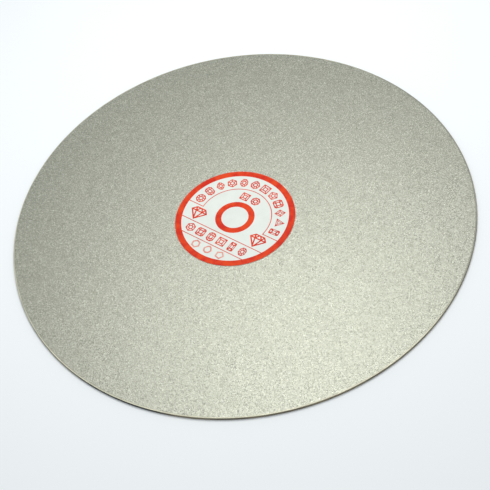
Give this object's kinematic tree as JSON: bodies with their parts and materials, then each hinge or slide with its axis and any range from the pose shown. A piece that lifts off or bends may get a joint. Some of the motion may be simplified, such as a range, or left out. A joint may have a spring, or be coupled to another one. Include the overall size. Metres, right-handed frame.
{
  "type": "diamond grinding wheel",
  "caption": "Flat round lapidary wheel: a thin steel plate with one face coated in plated diamond grit, an arbor hole, and a round paper label over the hole.",
  "frame": {"origin": "on the wheel's axis, at the back face of the steel plate", "axes": "+Z along the wheel's axis, out of the coated face; +Y towards the top of the label; +X to the label's right"},
  "size_m": [0.2, 0.2, 0.0014],
  "materials": {
    "plate_steel": "satin",
    "strike_nickel": "satin",
    "bond_nickel": "satin",
    "diamond_grit": "satin",
    "label_gum": "satin",
    "label_paper": "matte",
    "red_ink": "satin",
    "pale_ink": "satin"
  },
  "bodies": {
    "root": {"steel_plate": "plate_steel", "nickel_strike": "strike_nickel", "nickel_bond": "bond_nickel", "diamond_layer": "diamond_grit", "label_adhesive": "label_gum", "label_paper": "label_paper", "label_outer_ring": "red_ink", "label_inner_ring": "red_ink", "label_arc_line": "red_ink", "label_row_lines": "red_ink", "label_arc_marks": "red_ink", "label_top_marks": "red_ink", "label_side_marks": "red_ink", "label_row_marks": "red_ink", "label_stamp": "pale_ink"}
  },
  "joints": []
}
